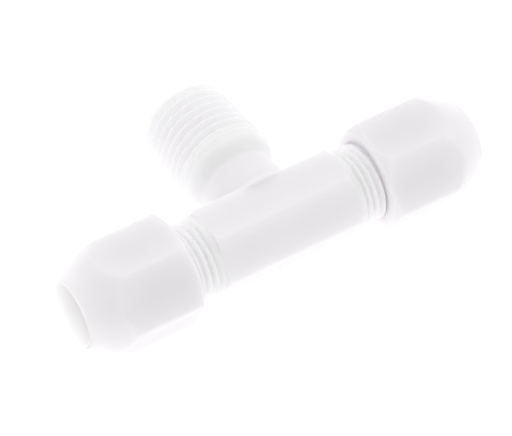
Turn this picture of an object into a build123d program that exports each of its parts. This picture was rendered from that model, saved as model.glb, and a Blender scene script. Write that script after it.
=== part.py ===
from build123d import *
import math
import os

os.makedirs("parts", exist_ok=True)

# Frame, millimetres: run axis along X, branch axis along +Y, Z up, origin where the two axes meet.
# Every run-end piece is drawn along local +Z with z = distance from the origin, then laid along X.

# run-end thread between body and nut, metric 11 x 1
PITCH = 1.0
SPIGOT_MAJOR_R = 5.45
SPIGOT_ROOT_R = 4.86
NUT_MINOR_R = 5.0
NUT_ROOT_R = 5.58
THREAD_PITCH_R = 5.175
FLANK_ALLOWANCE = 0.046
METRIC_FLANK = math.tan(math.radians(30))

# body block between the spigots: a hexagon bar, flats up and down, corners toward the branch
BLOCK_AF = 11.0
BLOCK_HALF = 10.35
BLOCK_CHAMFER_R = 5.75
BLOCK_CORNER_FILLET = 0.35

# spigot and tube socket
SPIGOT_END = 21.6
SPIGOT_LEAD = 0.5
SPIGOT_THREAD_START = 10.9
RUN_PASSAGE_R = 3.1
SOCKET_R = 4.05
SOCKET_FLOOR = 13.8
MOUTH_CHAMFER = 0.45

# branch: neck, collar and tapered pipe thread R 1/4
NECK_R = 5.4
NECK_END = 8.9
COLLAR_R = 6.6
COLLAR_START = 10.4
PIPE_START = 11.75
PIPE_END = 23.4
PIPE_PITCH = 1.337
PIPE_GAUGE_R = 6.5785
PIPE_GAUGE_LENGTH = 6.0
PIPE_DEPTH = 0.80
PIPE_TAPER = math.degrees(math.atan(1 / 32))
PIPE_FLANK = math.tan(math.radians(27.5))
PIPE_LEAD = 0.75
BRANCH_PASSAGE_R = 3.0
BRANCH_MOUTH_CHAMFER = 0.4

# cap nut
NUT_AF = 14.0
NUT_BACK = 14.55
NUT_NOSE = 30.3
NUT_BACK_CHAMFER_R = 6.55
NUT_MOUTH_CHAMFER = 0.3
NUT_CORNER_FILLET = 0.3
NUT_CLOCK = 3.5  # degrees that a tightened nut's flats stand past level, seen from its nose
NOSE_FACE_R = 4.55
NOSE_ROUND = 0.45
NOSE_CONE = math.tan(math.radians(30))
NUT_THREAD_END = 20.9
NUT_RELIEF_END = 22.4
NUT_CAVITY_R = 5.08
NUT_CONE_START = 24.9
NUT_CONE_END = 28.0
NUT_BORE_R = 4.15

# rings held between the body mouth and the nut's inner cone
SEAL_CORD_R = 0.47
SEAL_MAJOR_R = 4.45
SEAL_CENTRE = 22.1
RING_OUTER_R = 4.9
SPACER_START = 22.62
SPACER_END = 23.85
SPACER_BORE_R = 4.1
GRIP_START = 23.93
GRIP_END = 27.5
GRIP_BORE_R = 4.1
GRIP_TOOTH_R = 3.94
GRIP_TOOTH_PITCH = 0.8
GRIP_TOOTH_COUNT = 3
GRIP_GAP = 0.1
GRIP_SLOTS = 6
GRIP_SLOT_WIDTH = 0.5
GRIP_SPLIT_WIDTH = 0.9


def revolved(points):
    """Turn a closed outline of (radius, height) points about the Z axis."""
    outline = Polyline(*[(r, 0, z) for r, z in points], close=True)
    return revolve(make_face(outline), Axis.Z)


def rod(radius, z0, z1):
    """A plain round solid on the Z axis."""
    return Pos(0, 0, z0) * Cylinder(radius, z1 - z0, align=(Align.CENTER, Align.CENTER, Align.MIN))


def hex_bar(across_flats, z0, z1, corner_fillet):
    """A hexagon bar on the Z axis with two flats facing +X and -X and softened corners."""
    corner_r = across_flats / 2 / math.cos(math.radians(30))
    outline = RegularPolygon(corner_r, 6, rotation=30)
    outline = fillet(outline.vertices(), corner_fillet)
    return Pos(0, 0, z0) * extrude(outline, z1 - z0)


def groove(radius, pitch, z0, length, section, taper=0.0):
    """The solid swept by one thread groove; section lists (radius offset, height offset)."""
    path = Helix(pitch, length, radius, cone_angle=taper)
    start = Plane(origin=path @ 0, x_dir=(1, 0, 0), z_dir=path % 0)
    face = make_face(Polyline(*section, close=True))
    return Pos(0, 0, z0) * sweep(start * face, path, is_frenet=True)


def v_section(pitch_r, at_r, half_at_pitch, slope, inner_r, outer_r, closing):
    """Trapezium of a V groove; closing is -1 when it narrows inward and +1 when it narrows outward."""
    def half(r):
        return half_at_pitch - closing * (r - pitch_r) * slope

    return [
        (inner_r - at_r, -half(inner_r)),
        (outer_r - at_r, -half(outer_r)),
        (outer_r - at_r, half(outer_r)),
        (inner_r - at_r, half(inner_r)),
    ]


def spigot_blank():
    """Solid spigot on local +Z, thread not cut yet."""
    return revolved([
        (0, 0),
        (SPIGOT_MAJOR_R, 0),
        (SPIGOT_MAJOR_R, SPIGOT_END - SPIGOT_LEAD),
        (SPIGOT_MAJOR_R - SPIGOT_LEAD, SPIGOT_END),
        (0, SPIGOT_END),
    ])


def spigot_groove():
    """Groove of the outside thread, from the block to just past the mouth."""
    section = v_section(
        THREAD_PITCH_R,
        SPIGOT_MAJOR_R,
        PITCH / 4 + FLANK_ALLOWANCE,
        METRIC_FLANK,
        SPIGOT_ROOT_R,
        SPIGOT_MAJOR_R + 0.02,
        -1,
    )
    return groove(SPIGOT_MAJOR_R, PITCH, SPIGOT_THREAD_START, SPIGOT_END + 0.6 - SPIGOT_THREAD_START, section)


def spigot_bore():
    """Tube socket with its stop shoulder and chamfered mouth."""
    return revolved([
        (0, 0),
        (RUN_PASSAGE_R, 0),
        (RUN_PASSAGE_R, SOCKET_FLOOR),
        (SOCKET_R, SOCKET_FLOOR),
        (SOCKET_R, SPIGOT_END - MOUTH_CHAMFER),
        (SOCKET_R + MOUTH_CHAMFER + 0.1, SPIGOT_END + 0.1),
        (0, SPIGOT_END + 0.1),
    ])


def block():
    """Hexagon bar with its ends turned down toward the spigots."""
    bar = hex_bar(BLOCK_AF, -BLOCK_HALF, BLOCK_HALF, BLOCK_CORNER_FILLET)
    corner_r = BLOCK_AF / 2 / math.cos(math.radians(30))
    drop = (corner_r - BLOCK_CHAMFER_R) * math.tan(math.radians(30)) + 0.1
    turned = revolved([
        (0, -BLOCK_HALF),
        (BLOCK_CHAMFER_R, -BLOCK_HALF),
        (corner_r + 0.17, -BLOCK_HALF + drop),
        (corner_r + 0.17, BLOCK_HALF - drop),
        (BLOCK_CHAMFER_R, BLOCK_HALF),
        (0, BLOCK_HALF),
    ])
    return bar & turned


def pipe_radius(z):
    """Crest radius of the pipe thread at height z on the branch."""
    return PIPE_GAUGE_R + (PIPE_END - PIPE_GAUGE_LENGTH - z) / 32


def branch():
    """Neck, collar and tapered pipe thread on local +Z, cut over-long and then turned to length."""
    over_end = PIPE_END + 3
    blank = revolved([
        (0, 0),
        (NECK_R, 0),
        (NECK_R, NECK_END),
        (NECK_R + 0.25, NECK_END + 0.45),
        (COLLAR_R - 0.25, COLLAR_START - 0.35),
        (COLLAR_R, COLLAR_START),
        (COLLAR_R, PIPE_START - 0.12),
        (pipe_radius(PIPE_START), PIPE_START),
        (pipe_radius(over_end), over_end),
        (0, over_end),
    ])
    reach = 0.03
    root_half = 0.07
    mouth_half = root_half + (PIPE_DEPTH + reach) * PIPE_FLANK
    section = [
        (-PIPE_DEPTH, -root_half),
        (reach, -mouth_half),
        (reach, mouth_half),
        (-PIPE_DEPTH, root_half),
    ]
    z0 = PIPE_START + 0.75
    cut = groove(pipe_radius(z0), PIPE_PITCH, z0, PIPE_END + 1.6 - z0, section, -PIPE_TAPER)
    end_r = pipe_radius(PIPE_END) - PIPE_LEAD
    turned = revolved([
        (0, 0),
        (9, 0),
        (9, PIPE_END - (9 - end_r)),
        (end_r, PIPE_END),
        (0, PIPE_END),
    ])
    return (blank - cut) & turned


def tee_body():
    """One moulding: hexagon block, two threaded spigots, threaded branch and the passages."""
    right = Rot(0, 90, 0)
    left = Rot(0, 0, 180) * Rot(0, 90, 0)
    toward_y = Rot(-90, 0, 0)
    run = spigot_blank()
    cut = spigot_groove()
    solid = right * block() + right * (run - cut) + left * (run - cut)
    solid = solid + toward_y * branch()
    bore = spigot_bore()
    solid = solid - right * bore - left * bore
    passage = revolved([
        (0, 0),
        (BRANCH_PASSAGE_R, 0),
        (BRANCH_PASSAGE_R, PIPE_END - BRANCH_MOUTH_CHAMFER),
        (BRANCH_PASSAGE_R + BRANCH_MOUTH_CHAMFER + 0.1, PIPE_END + 0.1),
        (0, PIPE_END + 0.1),
    ])
    return solid - toward_y * passage


def nut():
    """Cap nut: hexagon with a turned cone nose, thread, relief and inner gripping cone."""
    corner_r = NUT_AF / 2 / math.cos(math.radians(30))
    wide_r = corner_r + 0.3
    section = v_section(
        THREAD_PITCH_R,
        NUT_MINOR_R,
        PITCH / 4 + FLANK_ALLOWANCE,
        METRIC_FLANK,
        NUT_MINOR_R - 0.02,
        NUT_ROOT_R,
        1,
    )
    # half a pitch away from the spigot's groove, so that ridge sits in groove
    first_turn = SPIGOT_THREAD_START + PITCH / 2 + 2 * PITCH
    stock = rod(wide_r + 1, first_turn - 1, NUT_NOSE + 1)
    stock = stock - rod(NUT_MINOR_R, first_turn - 1, NUT_RELIEF_END)
    stock = stock - groove(NUT_MINOR_R, PITCH, first_turn, NUT_THREAD_END + 0.8 - first_turn, section)
    turned = revolved([
        (0, NUT_BACK),
        (NUT_BACK_CHAMFER_R, NUT_BACK),
        (wide_r, NUT_BACK + (wide_r - NUT_BACK_CHAMFER_R) * math.tan(math.radians(30))),
        (wide_r, NUT_NOSE - NOSE_ROUND - (wide_r - NOSE_FACE_R - 0.35) / NOSE_CONE),
        (NOSE_FACE_R + 0.35, NUT_NOSE - NOSE_ROUND),
        (NOSE_FACE_R + 0.22, NUT_NOSE - NOSE_ROUND * 0.42),
        (NOSE_FACE_R, NUT_NOSE),
        (0, NUT_NOSE),
    ])
    hexagon = Rot(0, 0, NUT_CLOCK) * hex_bar(NUT_AF, NUT_BACK, NUT_NOSE, NUT_CORNER_FILLET)
    solid = stock & (hexagon & turned)
    entry = revolved([
        (0, NUT_BACK - 0.1),
        (NUT_MINOR_R + NUT_MOUTH_CHAMFER + 0.1, NUT_BACK - 0.1),
        (NUT_MINOR_R - 0.1, NUT_BACK + NUT_MOUTH_CHAMFER + 0.1),
        (0, NUT_BACK + NUT_MOUTH_CHAMFER + 0.1),
    ])
    inside = revolved([
        (0, NUT_THREAD_END),
        (NUT_ROOT_R + 0.07, NUT_THREAD_END),
        (NUT_ROOT_R + 0.07, NUT_RELIEF_END),
        (NUT_CAVITY_R, NUT_RELIEF_END + 0.4),
        (NUT_CAVITY_R, NUT_CONE_START),
        (NUT_BORE_R, NUT_CONE_END),
        (NUT_BORE_R, NUT_NOSE - 0.15),
        (NUT_BORE_R + 0.25, NUT_NOSE + 0.1),
        (0, NUT_NOSE + 0.1),
    ])
    return solid - inside - entry


def seal_ring():
    """Round-cord sealing ring lying on the mouth of the tube socket."""
    return Pos(0, 0, SEAL_CENTRE) * Torus(SEAL_MAJOR_R, SEAL_CORD_R)


def spacer():
    """Flat ring between the seal and the grab ring, hollowed slightly where the cord rests."""
    return revolved([
        (SPACER_BORE_R, SPACER_START + 0.12),
        (SPACER_BORE_R + 0.12, SPACER_START),
        (RING_OUTER_R - 0.12, SPACER_START),
        (RING_OUTER_R, SPACER_START + 0.12),
        (RING_OUTER_R, SPACER_END - 0.12),
        (RING_OUTER_R - 0.12, SPACER_END),
        (SPACER_BORE_R + 0.25, SPACER_END),
        (SPACER_BORE_R, SPACER_END - 0.25),
    ])


def grab_ring():
    """Split collet: toothed bore, outer cone matching the nut, one full split and shorter slots."""
    slope = (NUT_CAVITY_R - NUT_BORE_R) / (NUT_CONE_END - NUT_CONE_START)
    gap = GRIP_GAP * math.sqrt(1 + slope * slope)

    def cone_r(z):
        return NUT_CAVITY_R - (z - NUT_CONE_START) * slope - gap

    knee = NUT_CONE_START + (NUT_CAVITY_R - gap - RING_OUTER_R) / slope
    outline = [
        (GRIP_BORE_R, GRIP_START),
        (RING_OUTER_R - 0.15, GRIP_START),
        (RING_OUTER_R, GRIP_START + 0.15),
        (RING_OUTER_R, knee),
        (cone_r(GRIP_END), GRIP_END),
        (GRIP_BORE_R - 0.02, GRIP_END),
    ]
    top = GRIP_END - 0.35
    for i in range(GRIP_TOOTH_COUNT):
        z = top - i * GRIP_TOOTH_PITCH
        outline.append((GRIP_BORE_R, z))
        outline.append((GRIP_TOOTH_R, z - 0.22))
        outline.append((GRIP_BORE_R, z - 0.62))
    ring = revolved(outline)
    length = GRIP_END - GRIP_START
    low = (Align.CENTER, Align.MIN, Align.MIN)
    ring = ring - Pos(0, 0, GRIP_START - 0.1) * Box(GRIP_SPLIT_WIDTH, 8, length + 0.2, align=low)
    for i in range(1, GRIP_SLOTS):
        slot = Pos(0, 0, GRIP_START + 1.1) * Box(GRIP_SLOT_WIDTH, 8, length, align=low)
        ring = ring - Rot(0, 0, i * 360 / GRIP_SLOTS) * slot
    return ring


pieces = {
    "nut": nut(),
    "grab_ring": grab_ring(),
    "spacer": spacer(),
    "seal_ring": seal_ring(),
}
sides = {
    "right": Rot(0, 90, 0),
    "left": Rot(0, 0, 180) * Rot(0, 90, 0),
}

export_step(tee_body(), "parts/tee_body.step")
for side, turn in sides.items():
    for name, piece in pieces.items():
        export_step(turn * piece, "parts/" + side + "_" + name + ".step")
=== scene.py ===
import math

import bmesh
import bpy
import numpy as np
from mathutils import Matrix, Vector


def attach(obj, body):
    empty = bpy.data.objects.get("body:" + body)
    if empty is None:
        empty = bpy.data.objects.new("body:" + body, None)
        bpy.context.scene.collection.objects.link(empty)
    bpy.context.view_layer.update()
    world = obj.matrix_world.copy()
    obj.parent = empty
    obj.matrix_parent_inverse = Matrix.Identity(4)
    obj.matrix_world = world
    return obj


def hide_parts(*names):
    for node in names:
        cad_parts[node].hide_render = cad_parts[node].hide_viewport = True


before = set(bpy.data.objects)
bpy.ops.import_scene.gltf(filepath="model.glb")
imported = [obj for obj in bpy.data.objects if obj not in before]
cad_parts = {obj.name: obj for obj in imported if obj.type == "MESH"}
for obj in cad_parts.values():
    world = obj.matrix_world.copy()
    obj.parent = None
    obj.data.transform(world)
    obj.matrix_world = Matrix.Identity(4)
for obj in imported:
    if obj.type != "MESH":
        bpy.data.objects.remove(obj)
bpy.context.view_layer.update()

MM = 0.001
TAU = 2 * math.pi
TAN30 = math.tan(math.radians(30))

# Sizes in millimetres, as in the CAD part, except that SPIGOT_ROOT_R is 0.04 larger and
# NUT_MOUTH_CHAMFER 0.16 smaller, which narrows the gap at the nuts' mouths. PIPE_ROOT_FILL makes
# the branch thread's roots shallower and rounder than the CAD's.
PITCH = 1.0
SPIGOT_MAJOR_R = 5.45
SPIGOT_ROOT_R = 4.9
NUT_MINOR_R = 5.0
NUT_ROOT_R = 5.58
THREAD_PITCH_R = 5.175
FLANK_ALLOWANCE = 0.046
THREAD_START = 10.9
SPIGOT_START = 9.6
SPIGOT_END = 21.6
SPIGOT_LEAD = 0.5
BLOCK_AF = 11.0
BLOCK_HALF = 10.35
BLOCK_CHAMFER_R = 5.75
RUN_PASSAGE_R = 3.1
SOCKET_R = 4.05
SOCKET_FLOOR = 13.8
SOCKET_STEP = 0.04
NECK_START = 2.6
NECK_R = 5.4
NECK_FILLET = 0.7
NECK_SINK = 0.09
COLLAR_R = 6.6
COLLAR_RAMP_START = 9.1
PIPE_START = 11.75
PIPE_END = 23.4
PIPE_PITCH = 1.337
PIPE_GAUGE_R = 6.5785
PIPE_GAUGE_LENGTH = 6.0
PIPE_HALF_TAPER = 1 / 32
PIPE_DEPTH = 0.80
PIPE_ROOT_FILL = 0.15
PIPE_CREST_HALF = 0.07
PIPE_LEAD = 0.75
PIPE_FLANK = math.tan(math.radians(27.5))
BRANCH_PASSAGE_R = 3.0
NUT_AF = 14.0
NUT_BACK = 14.55
NUT_NOSE = 30.3
NUT_CLOCK = math.radians(3.5)
NUT_BACK_CHAMFER_R = 6.55
NUT_MOUTH_CHAMFER = 0.14
NOSE_FACE_R = 4.55
NOSE_ROUND = 0.45
NUT_THREAD_END = 20.9
NUT_RELIEF_END = 22.4
NUT_RELIEF_R = NUT_ROOT_R + 0.07
NUT_CAVITY_R = 5.08
NUT_CONE_START = 24.9
NUT_CONE_END = 28.0
NUT_BORE_R = 4.15

# How far the steep face at a chamfered end is set in, and how wide its corners are rounded.
LIP = 0.12

# Points round a ring, and rows to a turn of thread.
THREAD_AROUND = 112
PIPE_AROUND = 128
HEXAGON_AROUND = 240
BORE_AROUND = 96
RUN_PER_TURN = 14
PIPE_PER_TURN = 18


# ---------------------------------------------------------------- shapes

def smin(a, b, k):
    """The smaller of a and b, with the corner between them rounded over a width k."""
    h = np.maximum(k - np.abs(a - b), 0) / k
    return np.minimum(a, b) - h * h * k * 0.25


def smax(a, b, k):
    """The larger of a and b, rounded the same way."""
    return -smin(-a, -b, k)


def ease(x, a, b):
    """0 below a, 1 above b, smooth between."""
    t = np.clip((x - a) / (b - a), 0, 1)
    return t * t * (3 - 2 * t)


def hexagon(theta, across_flats, corner):
    """Radius of a hexagon with flats facing theta 0, its corners rounded."""
    phi = np.mod(theta, TAU / 6)
    a = across_flats / 2
    return smin(a / np.cos(phi), a / np.cos(TAU / 6 - phi), corner)


def along_run(side):
    """Places (radius, theta, distance from the middle) on the run; side is +1 right, -1 left."""
    def place(r, t, u):
        return np.stack([side * u, side * r * np.sin(t), -r * np.cos(t)], -1)

    return place


def along_branch(r, t, u):
    """Places (radius, theta, distance from the run's axis) on the branch."""
    return np.stack([r * np.cos(t), u, -r * np.sin(t)], -1)


def mesh_object(name, points, faces):
    """A linked mesh object from points in millimetres, its faces turned outward."""
    mesh = bpy.data.meshes.new(name)
    mesh.from_pydata((points * MM).tolist(), [], faces)
    bm = bmesh.new()
    bm.from_mesh(mesh)
    bmesh.ops.recalc_face_normals(bm, faces=bm.faces)
    bm.to_mesh(mesh)
    bm.free()
    obj = bpy.data.objects.new(name, mesh)
    bpy.context.scene.collection.objects.link(obj)
    return obj


def closed_skin(name, points, quads, first, last):
    """A solid from a tube of quads: equal points are welded, and both end rings are capped."""
    key = np.round(points, 6)
    _, index, back = np.unique(key, axis=0, return_index=True, return_inverse=True)
    back = back.reshape(-1)
    faces = []
    for q in back[quads]:
        f = [v for i, v in enumerate(q) if v != q[i - 1]]
        if len(f) >= 3 and len(set(f)) == len(f):
            faces.append([int(v) for v in f])
    verts = points[index]
    for ring in (first, last):
        loop = back[ring]
        hub = len(verts)
        verts = np.vstack([verts, points[ring].mean(0)])
        m = len(loop)
        faces += [[int(loop[j]), int(loop[(j + 1) % m]), hub] for j in range(m)]
    return mesh_object(name, verts, faces)


def lathe(name, stations, radius, place, around):
    """A solid skinned through the rings at the given stations; radius(u, theta) gives its outline."""
    u = np.asarray(stations, float)
    t = np.arange(around) * TAU / around
    uu, tt = np.meshgrid(u, t, indexing="ij")
    points = place(radius(uu, tt), tt, uu).reshape(-1, 3)
    n, m = len(u), around
    i, j = np.meshgrid(np.arange(n - 1), np.arange(m), indexing="ij")
    k = (j + 1) % m
    quads = np.stack([i * m + j, i * m + k, (i + 1) * m + k, (i + 1) * m + j], -1).reshape(-1, 4)
    return closed_skin(name, points, quads, np.arange(m), (n - 1) * m + np.arange(m))


def screw(name, start, end, radius, place, pitch, per_turn, around):
    """Like lathe, with its rows climbing a right-hand helix, so that a thread's crests follow the rows."""
    step = pitch / per_turn
    n = int(math.ceil((end - start) / step)) + 2 * per_turn + 2
    i, j = np.meshgrid(np.arange(n), np.arange(around), indexing="ij")
    tt = j * TAU / around
    uu = np.clip(start - pitch + i * step + pitch * j / around, start, end)
    points = place(radius(uu, tt), tt, uu).reshape(-1, 3)
    m = around
    i, j = np.meshgrid(np.arange(n - 1 - per_turn), np.arange(m), indexing="ij")
    wrap = j == m - 1
    k = np.where(wrap, 0, j + 1)
    ik = np.where(wrap, i + per_turn, i)
    quads = np.stack([i * m + j, ik * m + k, (ik + 1) * m + k, (i + 1) * m + j], -1).reshape(-1, 4)
    extra_i, extra_j = np.meshgrid(np.arange(n - 1 - per_turn, n - 1), np.arange(m - 1), indexing="ij")
    extra = np.stack([
        extra_i * m + extra_j,
        extra_i * m + extra_j + 1,
        (extra_i + 1) * m + extra_j + 1,
        (extra_i + 1) * m + extra_j,
    ], -1).reshape(-1, 4)
    return closed_skin(name, points, np.vstack([quads, extra]), np.arange(m), (n - 1) * m + np.arange(m))


def join(target, others, operation):
    """Boolean the other solids into target and throw them away."""
    for other in others:
        mod = target.modifiers.new("join", "BOOLEAN")
        mod.operation = operation
        mod.solver = "MANIFOLD"
        mod.object = other
    bpy.context.view_layer.update()
    dg = bpy.context.evaluated_depsgraph_get()
    mesh = bpy.data.meshes.new_from_object(target.evaluated_get(dg))
    target.modifiers.clear()
    old = target.data
    target.data = mesh
    mesh.name = old.name
    bpy.data.meshes.remove(old)
    for other in others:
        data = other.data
        bpy.data.objects.remove(other)
        bpy.data.meshes.remove(data)
    return target


def finish_mesh(obj, angle=38):
    """Cleans the mesh up after a boolean, and shades it smooth across edges below the angle."""
    bm = bmesh.new()
    bm.from_mesh(obj.data)
    bmesh.ops.remove_doubles(bm, verts=bm.verts, dist=0.002 * MM)
    bmesh.ops.dissolve_degenerate(bm, dist=0.001 * MM, edges=bm.edges)
    bmesh.ops.recalc_face_normals(bm, faces=bm.faces)
    for f in bm.faces:
        f.smooth = True
    bm.to_mesh(obj.data)
    bm.free()
    obj.data.set_sharp_from_angle(angle=math.radians(angle))


def steps(*marks):
    """Stations from (value, count) marks: count even steps up to each next value."""
    out = [marks[0][0]]
    for (a, _), (b, n) in zip(marks, marks[1:]):
        out += list(np.linspace(a, b, n + 1)[1:])
    return out


def thread_offset(u, t, first, pitch):
    """Distance along the axis from the nearest turn of a right-hand helix that starts at first."""
    return np.abs(np.mod((u - first) / pitch - t / TAU + 0.5, 1) - 0.5) * pitch


def spigot_radius(u, t):
    d = thread_offset(u, t, THREAD_START, PITCH)
    half = PITCH / 4 + FLANK_ALLOWANCE
    flank = THREAD_PITCH_R + (d - half) / TAN30
    cut = smax(smin(flank, SPIGOT_MAJOR_R, 0.16), SPIGOT_ROOT_R, 0.3)
    depth = ease(u, THREAD_START - 0.1, THREAD_START + 0.9)
    r = SPIGOT_MAJOR_R - (SPIGOT_MAJOR_R - cut) * depth
    lead = SPIGOT_MAJOR_R - SPIGOT_LEAD + (SPIGOT_END - u)
    return smin(r, lead, LIP)


def block_radius(u, t):
    r = hexagon(t, BLOCK_AF, 0.28)
    end = BLOCK_HALF - np.abs(u)
    cone = BLOCK_CHAMFER_R + end / TAN30
    steep = BLOCK_CHAMFER_R - LIP + end * 6
    return smin(smin(r, cone, 0.22), steep, LIP)


def neck_flare(r, t, u):
    """Extra neck radius where it springs from the block's faces, a fillet found in three passes."""
    add = np.zeros_like(r)
    for _ in range(3):
        y, z = u, -(r + add) * np.sin(t)
        above = -np.full_like(r, 1e9)
        for k in range(6):
            a = k * TAU / 6
            above = np.maximum(above, y * np.sin(a) + z * np.cos(a) - BLOCK_AF / 2 + NECK_SINK)
        d = np.clip(above, 0, NECK_FILLET)
        add = NECK_FILLET - np.sqrt(NECK_FILLET ** 2 - (NECK_FILLET - d) ** 2)
    return add


def pipe_radius(u):
    """The tapered crest of the branch thread."""
    return PIPE_GAUGE_R + (PIPE_END - PIPE_GAUGE_LENGTH - u) * PIPE_HALF_TAPER


def branch_radius(u, t):
    ramp = NECK_R + (u - COLLAR_RAMP_START)
    base = smax(np.full_like(u, NECK_R), smin(ramp, COLLAR_R, 0.5), 0.6)
    base = base + neck_flare(base, t, u)
    d = thread_offset(u, t, PIPE_START + 0.75, PIPE_PITCH)
    crest = pipe_radius(u)
    flank = crest - PIPE_DEPTH + (d - PIPE_CREST_HALF) / PIPE_FLANK
    cut = smax(smin(flank, crest, 0.3), crest - PIPE_DEPTH + PIPE_ROOT_FILL, 0.35)
    depth = ease(u, PIPE_START + 0.15, PIPE_START + 1.35)
    thread = crest - (crest - cut) * depth
    r = base + (thread - base) * ease(u, PIPE_START - 0.2, PIPE_START + 0.02)
    end_r = pipe_radius(PIPE_END) - PIPE_LEAD
    lead = end_r + (PIPE_END - u)
    steep = end_r - 0.1 + (PIPE_END - u) * 5
    return smin(smin(r, lead, 0.15), steep, LIP)


def make_body():
    right, left = along_run(1), along_run(-1)
    ends = steps((-BLOCK_HALF, 0), (-BLOCK_HALF + 0.8, 12), (BLOCK_HALF - 0.8, 24), (BLOCK_HALF, 12))
    body = lathe("tee_body_visual", ends, block_radius, right, HEXAGON_AROUND)
    spigots = [
        screw("spigot", SPIGOT_START, SPIGOT_END, spigot_radius, side, PITCH, RUN_PER_TURN, THREAD_AROUND)
        for side in (right, left)
    ]
    branch = screw(
        "branch", NECK_START, PIPE_END, branch_radius, along_branch, PIPE_PITCH, PIPE_PER_TURN, PIPE_AROUND,
    )
    join(body, spigots + [branch], "UNION")

    def bore(u, t):
        wide = ease(np.abs(u), SOCKET_FLOOR, SOCKET_FLOOR + SOCKET_STEP)
        r = RUN_PASSAGE_R + (SOCKET_R - RUN_PASSAGE_R) * wide
        return smax(r, SOCKET_R + 0.5 - (SPIGOT_END - np.abs(u)), 0.08)

    half = steps((SOCKET_FLOOR, 0), (SOCKET_FLOOR + SOCKET_STEP, 2), (17.5, 1), (20.9, 1), (21.2, 3))
    half += [21.4, SPIGOT_END + 0.1]
    run = lathe("run_bore", [-x for x in half[::-1]] + half, bore, right, BORE_AROUND)

    def branch_bore(u, t):
        return smax(np.full_like(u, BRANCH_PASSAGE_R), BRANCH_PASSAGE_R + 0.4 - (PIPE_END - u), 0.1)

    rows = [0, 22.7, 22.9, 23.0, 23.1, 23.3, PIPE_END + 0.1]
    side = lathe("branch_bore", rows, branch_bore, along_branch, BORE_AROUND)
    join(body, [run, side], "DIFFERENCE")
    finish_mesh(body, angle=24)
    return body


def nut_outer(u, t):
    r = hexagon(t - NUT_CLOCK, NUT_AF, 0.3)
    cone = NOSE_FACE_R + 0.35 + (NUT_NOSE - NOSE_ROUND - u) * TAN30
    nose = NOSE_FACE_R - 0.02 + (NUT_NOSE - u) * 2.2
    back = NUT_BACK_CHAMFER_R + (u - NUT_BACK) / TAN30
    lip = NUT_BACK_CHAMFER_R - LIP + (u - NUT_BACK) * 6
    r = smin(smin(r, cone, 0.3), nose, 0.55)
    return smin(smin(r, back, 0.3), lip, LIP)


def nut_inner(u, t):
    """Thread, relief groove, cavity, cone and nose hole, from the mouth to the nose."""
    d = thread_offset(u, t, THREAD_START + PITCH / 2, PITCH)
    half = PITCH / 4 + FLANK_ALLOWANCE
    flank = THREAD_PITCH_R + (half - d) / TAN30
    thread = smin(smax(flank, NUT_MINOR_R, 0.1), NUT_ROOT_R, 0.1)
    entry = NUT_MINOR_R + (NUT_BACK + NUT_MOUTH_CHAMFER - u)
    r = smax(thread, entry, 0.1)
    r = r + (NUT_RELIEF_R - r) * ease(u, NUT_THREAD_END, NUT_THREAD_END + 0.12)
    shoulder = NUT_CAVITY_R + (NUT_RELIEF_END + 0.4 - u) * 1.4
    relief = smax(smin(shoulder, NUT_RELIEF_R, 0.1), NUT_CAVITY_R, 0.1)
    r = np.where(u > NUT_THREAD_END + 0.5, relief, r)
    slope = (NUT_CAVITY_R - NUT_BORE_R) / (NUT_CONE_END - NUT_CONE_START)
    cone = NUT_CAVITY_R - (u - NUT_CONE_START) * slope
    cone = smax(smin(cone, NUT_CAVITY_R, 0.1), NUT_BORE_R, 0.1)
    r = np.where(u > NUT_RELIEF_END + 1, cone, r)
    nose_edge = NUT_BORE_R + 0.22 - (NUT_NOSE - u)
    return smax(r, nose_edge, 0.12)


def make_nut(side_name, side):
    place = along_run(side)
    rows = steps(
        (NUT_BACK, 0), (NUT_BACK + 0.2, 5), (NUT_BACK + 1.3, 12), (22.8, 14),
        (26.8, 44), (29.3, 16), (NUT_NOSE, 18),
    )
    nut = lathe(side_name + "_nut_visual", rows, nut_outer, place, HEXAGON_AROUND)
    start, end = NUT_BACK - 0.2, NUT_NOSE + 0.2
    inner = screw(side_name + "_inner", start, end, nut_inner, place, PITCH, RUN_PER_TURN, THREAD_AROUND)
    join(nut, [inner], "DIFFERENCE")
    finish_mesh(nut)
    return nut


# ---------------------------------------------------------------- looks

CLOUD_SCALE = 110
SMEAR_SCALE = 420
ORANGE_PEEL_SCALE = 1600
ORANGE_PEEL_DEPTH = 0.02 * MM
NOISE_LOW, NOISE_HIGH = 0.3, 0.7
PLASTIC_IOR = 1.49


def add_node(m, kind):
    return m.node_tree.nodes.new(kind)


def link(m, source, target):
    m.node_tree.links.new(source, target)


def remap(m, value, a, b, to_a, to_b):
    """The value mapped from a..b to to_a..to_b, held at the ends."""
    n = add_node(m, "ShaderNodeMapRange")
    n.inputs["From Min"].default_value = a
    n.inputs["From Max"].default_value = b
    n.inputs["To Min"].default_value = to_a
    n.inputs["To Max"].default_value = to_b
    link(m, value, n.inputs["Value"])
    return n.outputs["Result"]


def maths(m, operation, first, second):
    n = add_node(m, "ShaderNodeMath")
    n.operation = operation
    link(m, first, n.inputs[0])
    link(m, second, n.inputs[1])
    return n.outputs[0]


def distance(m, keep):
    """Distance from the object's origin along the axes kept, in metres."""
    co = add_node(m, "ShaderNodeTexCoord")
    flat = add_node(m, "ShaderNodeVectorMath")
    flat.operation = "MULTIPLY"
    flat.inputs[1].default_value = keep
    length = add_node(m, "ShaderNodeVectorMath")
    length.operation = "LENGTH"
    link(m, co.outputs["Object"], flat.inputs[0])
    link(m, flat.outputs[0], length.inputs[0])
    return length.outputs["Value"]


def noise(m, scale, detail, seed):
    n = add_node(m, "ShaderNodeTexNoise")
    n.noise_dimensions = "4D"
    n.inputs["Scale"].default_value = scale
    n.inputs["Detail"].default_value = detail
    n.inputs["W"].default_value = seed
    co = add_node(m, "ShaderNodeTexCoord")
    link(m, co.outputs["Object"], n.inputs["Vector"])
    return n.outputs["Fac"]


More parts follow.
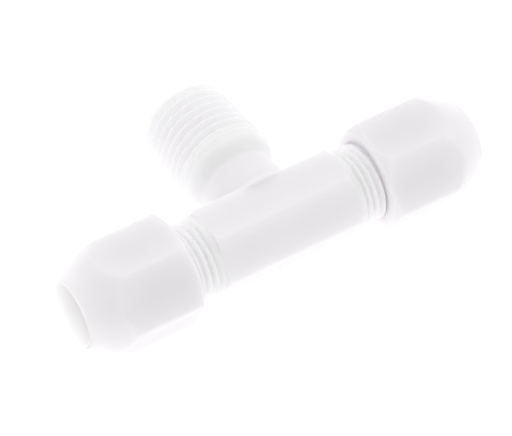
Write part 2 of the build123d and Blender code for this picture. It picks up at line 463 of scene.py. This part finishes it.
def plastic(name, base, tint, rough, subsurface, radius, seed, scale=0.002):
    """Moulded plastic: clouded colour, smeared gloss, a fine orange-peel skin, and scattering."""
    m = bpy.data.materials.new(name)
    m.use_nodes = True
    m.node_tree.nodes.clear()
    p = add_node(m, "ShaderNodeBsdfPrincipled")
    link(m, p.outputs[0], add_node(m, "ShaderNodeOutputMaterial").inputs[0])

    ramp = add_node(m, "ShaderNodeValToRGB")
    low, high = ramp.color_ramp.elements
    low.position, low.color = NOISE_LOW, (*tint, 1)
    high.position, high.color = NOISE_HIGH, (*base, 1)
    link(m, noise(m, CLOUD_SCALE, 3, seed), ramp.inputs["Fac"])
    link(m, ramp.outputs["Color"], p.inputs["Base Color"])

    smear = noise(m, SMEAR_SCALE, 4, seed + 3)
    link(m, remap(m, smear, NOISE_LOW, NOISE_HIGH, rough - 0.06, rough + 0.08), p.inputs["Roughness"])

    bump = add_node(m, "ShaderNodeBump")
    bump.inputs["Strength"].default_value = 0.25
    bump.inputs["Distance"].default_value = ORANGE_PEEL_DEPTH
    link(m, noise(m, ORANGE_PEEL_SCALE, 2, seed + 5), bump.inputs["Height"])
    link(m, bump.outputs["Normal"], p.inputs["Normal"])

    p.inputs["Subsurface Weight"].default_value = subsurface
    p.inputs["Subsurface Radius"].default_value = radius
    p.inputs["Subsurface Scale"].default_value = scale
    p.inputs["IOR"].default_value = PLASTIC_IOR
    return m


def zone(m, mask, colour, scale):
    """Gives the plastic another colour and scattering length where the mask is 1. Each colour given here is
    painted light: a paler tint where the surface lies in shade.
    """
    p = next(n for n in m.node_tree.nodes if n.type == "BSDF_PRINCIPLED")
    mix = add_node(m, "ShaderNodeMix")
    mix.data_type = "RGBA"
    link(m, mask, mix.inputs[0])
    link(m, p.inputs["Base Color"].links[0].from_socket, mix.inputs[6])
    mix.inputs[7].default_value = (*colour, 1)
    link(m, mix.outputs[2], p.inputs["Base Color"])

    depth = add_node(m, "ShaderNodeMix")
    link(m, mask, depth.inputs[0])
    before = p.inputs["Subsurface Scale"]
    if before.is_linked:
        link(m, before.links[0].from_socket, depth.inputs[2])
    else:
        depth.inputs[2].default_value = before.default_value
    depth.inputs[3].default_value = scale
    link(m, depth.outputs[0], before)


MILKY_ROUGH = 0.36
MILKY_RADIUS = (1.0, 0.97, 0.98)
RING_RADIUS = (1.0, 0.95, 0.9)
BODY_SCATTER = 0.003
BRANCH_SCATTER = 0.004
SURFACE_SCATTER = 0.0008
NOSE_SCATTER = 0.010
# Painted light: paler tints mixed into the base colour where bores, mouths, threads, the branch and its
# collar lie in shade.
PAINTED_LIGHT_TINT = (0.985, 0.955, 0.988)
BRANCH_PAINTED_LIGHT_TINT = (0.955, 0.925, 0.962)

# Where the painted-light zones fade in or out, in metres along the run or the branch.
NOSE_FADE = (27 * MM, 30 * MM)
BORE_EDGE_R = (5.9 * MM, 4.75 * MM)
BORE_EDGE_FADE = 0.15 * MM
MOUTH_FADE = (14.62 * MM, 14.8 * MM)
NUT_THREAD_FADE = (22 * MM, 24 * MM)
RUN_THREAD_FADE = (10.3 * MM, 10.9 * MM)
BRANCH_FADE = (7.5 * MM, 11.5 * MM)
COLLAR_FADE = (10.2 * MM, 11.4 * MM)
NECK_FADE = (8.0 * MM, 9.4 * MM)

milky = plastic(
    "milky_plastic", (0.918, 0.895, 0.922), (0.898, 0.875, 0.902),
    MILKY_ROUGH, 1.0, MILKY_RADIUS, 1.0, BODY_SCATTER,
)
milky_nut = plastic(
    "milky_nut_plastic", (0.915, 0.888, 0.918), (0.895, 0.868, 0.898),
    MILKY_ROUGH, 1.0, MILKY_RADIUS, 7.0,
)
ivory = plastic("ivory_plastic", (0.95, 0.935, 0.91), (0.93, 0.91, 0.88), 0.3, 0.6, RING_RADIUS, 3.0)
chalk = plastic("chalk_plastic", (0.95, 0.95, 0.95), (0.93, 0.93, 0.93), 0.45, 0.6, RING_RADIUS, 5.0)
rubber = plastic("seal_rubber", (0.028, 0.028, 0.03), (0.018, 0.018, 0.02), 0.5, 0.0, (1.0, 1.0, 1.0), 11.0)


def paint_nut_light(m):
    """Bore and mouth painted paler, painted light that lifts the shade inside them. Light comes far through
    the thin nose, and stays near the thread's surface.
    """
    along = distance(m, (1, 0, 0))
    bore_edge = remap(m, along, *NOSE_FADE, *BORE_EDGE_R)
    depth = maths(m, "SUBTRACT", bore_edge, distance(m, (0, 1, 1)))
    bore = remap(m, depth, 0, BORE_EDGE_FADE, 0, 1)
    mouth = remap(m, along, *MOUTH_FADE, 1, 0)
    # Painted light: the nose bore is painted paler to lift the shade inside it.
    zone(m, bore, PAINTED_LIGHT_TINT, NOSE_SCATTER)
    # Painted light: the nut's inner thread and its mouth are painted paler to lift the shade in the gap
    # round the spigot.
    threaded = remap(m, along, *NUT_THREAD_FADE, 1, 0)
    zone(m, maths(m, "MULTIPLY", threaded, maths(m, "MAXIMUM", bore, mouth)), PAINTED_LIGHT_TINT, SURFACE_SCATTER)


def paint_body_light(m):
    """Paler threads at the run's ends, and a paler branch, most of all under its collar: painted light,
    lifting the shade on these parts.
    """
    from_middle = distance(m, (1, 0, 0))
    along_branch_axis = distance(m, (0, 1, 0))
    # Painted light: the branch of the one-piece body is painted paler to brighten it.
    zone(m, remap(m, along_branch_axis, *BRANCH_FADE, 0, 1), BRANCH_PAINTED_LIGHT_TINT, BRANCH_SCATTER)
    # Painted light: the run's threads are painted paler to lift the shade in their grooves and by the nuts'
    # mouths.
    zone(m, remap(m, from_middle, *RUN_THREAD_FADE, 0, 1), PAINTED_LIGHT_TINT, SURFACE_SCATTER)
    # Painted light: the ramp under the collar is painted paler to lift the shade that falls on it.
    under_collar = remap(m, along_branch_axis, *COLLAR_FADE, 1, 0)
    above_neck = remap(m, along_branch_axis, *NECK_FADE, 0, 1)
    zone(m, maths(m, "MULTIPLY", under_collar, above_neck), PAINTED_LIGHT_TINT, BRANCH_SCATTER)


paint_nut_light(milky_nut)
paint_body_light(milky)

body = make_body()
body.data.materials.clear()
body.data.materials.append(milky)
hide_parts("tee_body")
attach(body, "tee")
for side_name, side in (("left", -1), ("right", 1)):
    nut = make_nut(side_name, side)
    nut.data.materials.clear()
    nut.data.materials.append(milky_nut)
    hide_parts(side_name + "_nut")
    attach(nut, side_name + "_nut")
    for part, material in (("grab_ring", ivory), ("spacer", chalk), ("seal_ring", rubber)):
        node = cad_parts[side_name + "_" + part]
        node.data.materials.clear()
        node.data.materials.append(material)

# ---------------------------------------------------------------- stage

FLOOR_Z = -7.24
ROOM_SIDE = (-0.42, -0.86, 0.2)  # the open side of the light tent, where the camera and the dimmer room are
TENT_LIGHT = 1.01
ROOM_LIGHT = 0.65
TOP_POWER = 0.14
TOP_SIZE = 0.45
TOP_PLACE = (0.0, 0.1, 0.5)
FLOOR_GLOW = 0.70
FLOOR_GREY = 0.5
FLOOR_HALF = 3.0

floor_mesh = bpy.data.meshes.new("floor")
floor_corners = [
    (x * FLOOR_HALF, y * FLOOR_HALF, FLOOR_Z * MM)
    for x, y in ((-1, -1), (1, -1), (1, 1), (-1, 1))
]
floor_mesh.from_pydata(floor_corners, [], [(0, 1, 2, 3)])
floor = bpy.data.objects.new("floor", floor_mesh)
bpy.context.scene.collection.objects.link(floor)
pale = bpy.data.materials.new("pale_floor")
pale.use_nodes = True
shader = pale.node_tree.nodes["Principled BSDF"]
shader.inputs["Base Color"].default_value = (FLOOR_GREY, FLOOR_GREY, FLOOR_GREY, 1)
shader.inputs["Roughness"].default_value = 0.9
shader.inputs["Emission Color"].default_value = (1, 1, 1, 1)
shader.inputs["Emission Strength"].default_value = FLOOR_GLOW
floor_mesh.materials.append(pale)

world = bpy.data.worlds.new("studio")
bpy.context.scene.world = world
world.use_nodes = True
wn = world.node_tree
background = wn.nodes["Background"]
background.inputs["Color"].default_value = (1, 1, 1, 1)
direction = wn.nodes.new("ShaderNodeTexCoord")
toward_room = wn.nodes.new("ShaderNodeVectorMath")
toward_room.operation = "DOT_PRODUCT"
toward_room.inputs[1].default_value = Vector(ROOM_SIDE).normalized()
wn.links.new(direction.outputs["Generated"], toward_room.inputs[0])
falloff = wn.nodes.new("ShaderNodeMapRange")
falloff.interpolation_type = "SMOOTHSTEP"
falloff.inputs["From Min"].default_value = -0.1
falloff.inputs["From Max"].default_value = 0.9
falloff.inputs["To Min"].default_value = TENT_LIGHT
falloff.inputs["To Max"].default_value = ROOM_LIGHT
wn.links.new(toward_room.outputs["Value"], falloff.inputs["Value"])
wn.links.new(falloff.outputs["Result"], background.inputs["Strength"])


softbox = bpy.data.lights.new("top", "AREA")
softbox.shape = "SQUARE"
softbox.size = TOP_SIZE
softbox.energy = TOP_POWER
softbox_obj = bpy.data.objects.new("top", softbox)
softbox_obj.location = TOP_PLACE
softbox_obj.rotation_euler = (-Vector(TOP_PLACE)).to_track_quat("-Z", "Y").to_euler()
bpy.context.scene.collection.objects.link(softbox_obj)

scene = bpy.context.scene
scene.view_settings.view_transform = "Standard"
scene.view_settings.look = "None"
# White plastic in a white tent: light bounces many times in the bores and grooves.
scene.cycles.max_bounces = 24
scene.cycles.diffuse_bounces = 16
scene.cycles.transmission_bounces = 24

# ---------------------------------------------------------------- camera

AZIMUTH = 31.523
ELEVATION = 46.52
ROLL = -0.99
DISTANCE = 399.6
LENS = 214.0
SENSOR_WIDTH = 36.0
# The optical axis lies a little right of and below the picture's middle, in parts of its width.
SHIFT_X = -0.03365
SHIFT_Y = 0.00971

a, e, c = math.radians(AZIMUTH), math.radians(ELEVATION), math.radians(ROLL)
back = Vector((-math.sin(a) * math.cos(e), -math.cos(a) * math.cos(e), math.sin(e)))
level = Vector((math.cos(a), -math.sin(a), 0))
upward = back.cross(level)
right_v = math.cos(c) * level + math.sin(c) * upward
up_v = -math.sin(c) * level + math.cos(c) * upward
camera = bpy.data.cameras.new("camera")
camera.lens = LENS
camera.sensor_width = SENSOR_WIDTH
camera.clip_start = 0.01
camera.clip_end = 10
camera.shift_x = SHIFT_X
camera.shift_y = SHIFT_Y
cam_obj = bpy.data.objects.new("camera", camera)
bpy.context.scene.collection.objects.link(cam_obj)
pos = back * DISTANCE * MM
cam_obj.matrix_world = Matrix((
    (right_v.x, up_v.x, back.x, pos.x),
    (right_v.y, up_v.y, back.y, pos.y),
    (right_v.z, up_v.z, back.z, pos.z),
    (0, 0, 0, 1),
))
bpy.context.scene.camera = cam_obj
